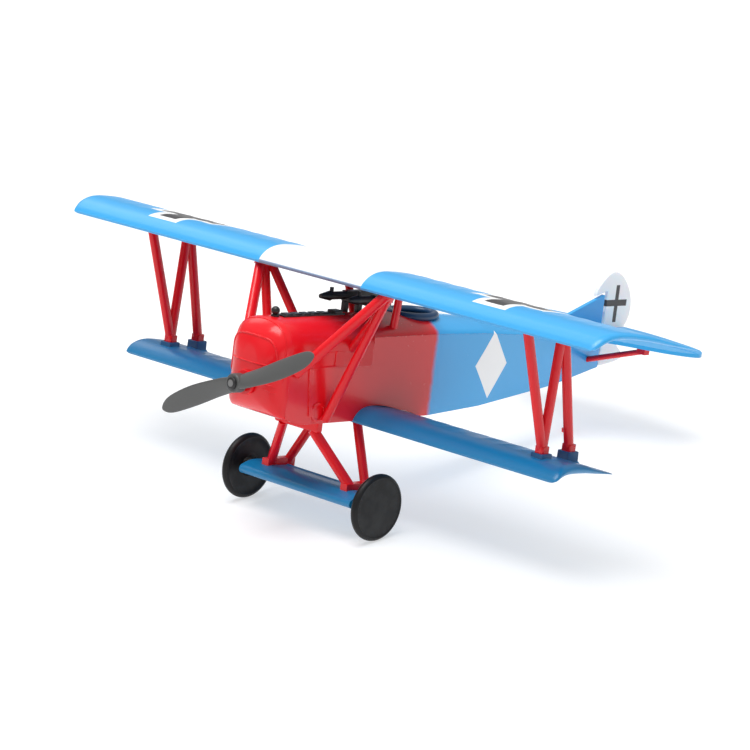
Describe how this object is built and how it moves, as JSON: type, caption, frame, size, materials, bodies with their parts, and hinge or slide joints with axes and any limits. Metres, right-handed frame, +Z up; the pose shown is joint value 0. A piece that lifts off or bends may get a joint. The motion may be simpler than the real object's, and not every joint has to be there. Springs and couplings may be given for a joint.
{
  "type": "biplane scale model",
  "caption": "Snap-together display model of a single-seat biplane that stands on two wheels and a tail skid, with a turning propeller and wheels.",
  "frame": {"origin": "centre of the model's outer box in plan, on the surface that it stands on", "axes": "+X to port along the wing span, +Y towards the tail, +Z up; the model rests nose-up by 10 degrees on its wheels and tail skid"},
  "size_m": [0.186, 0.1444, 0.0635],
  "materials": {
    "red_plastic": "glossy",
    "sky_blue_plastic": "glossy",
    "deep_blue_plastic": "satin",
    "fuselage_paint": "glossy",
    "black_plastic": "satin",
    "grey_plastic": "satin",
    "navy_padding": "satin",
    "white_plastic": "glossy",
    "cockpit_plastic": "matte"
  },
  "bodies": {
    "airframe": {"nose_cowl": "red_plastic", "engine_cowl": "red_plastic", "engine_top": "black_plastic", "filler_cap": "black_plastic", "fuselage_left": "fuselage_paint", "fuselage_right": "fuselage_paint", "top_deck": "fuselage_paint", "gear_beam": "red_plastic", "locating_pins": "red_plastic", "cockpit_coaming": "navy_padding", "cockpit_floor": "cockpit_plastic", "pilot_seat": "cockpit_plastic", "instrument_panel": "cockpit_plastic", "control_stick": "black_plastic", "gun_left": "black_plastic", "gun_right": "black_plastic", "gun_mount": "black_plastic", "shaft_bush": "red_plastic", "upper_wing": "sky_blue_plastic", "lower_wing": "deep_blue_plastic", "interplane_strut_left": "red_plastic", "interplane_strut_right": "red_plastic", "cabane_strut_left": "red_plastic", "cabane_strut_right": "red_plastic", "rear_cabane_left": "red_plastic", "rear_cabane_right": "red_plastic", "gear_leg_left": "red_plastic", "gear_leg_right": "red_plastic", "spreader_wing": "deep_blue_plastic", "axle": "black_plastic", "tailplane": "sky_blue_plastic", "fin": "sky_blue_plastic", "rudder": "white_plastic", "tail_strut_left": "red_plastic", "tail_strut_right": "red_plastic", "tail_skid": "red_plastic"},
    "propeller": {"propeller": "grey_plastic", "propeller_boss": "grey_plastic", "propeller_shaft": "grey_plastic"},
    "wheel_left": {"wheel_left": "black_plastic"},
    "wheel_right": {"wheel_right": "black_plastic"}
  },
  "joints": [
    {"name": "propeller_spin", "type": "hinge", "parent": "airframe", "child": "propeller", "pos_m": [0, -0.07193, 0.04011], "axis": [0, 0.9848, -0.1736], "continuous": true},
    {"name": "wheel_left_spin", "type": "hinge", "parent": "airframe", "child": "wheel_left", "pos_m": [0.0224, -0.04587, 0.0082], "axis": [1, 0, 0], "continuous": true},
    {"name": "wheel_right_spin", "type": "hinge", "parent": "airframe", "child": "wheel_right", "pos_m": [-0.0224, -0.04587, 0.0082], "axis": [1, 0, 0], "continuous": true}
  ]
}
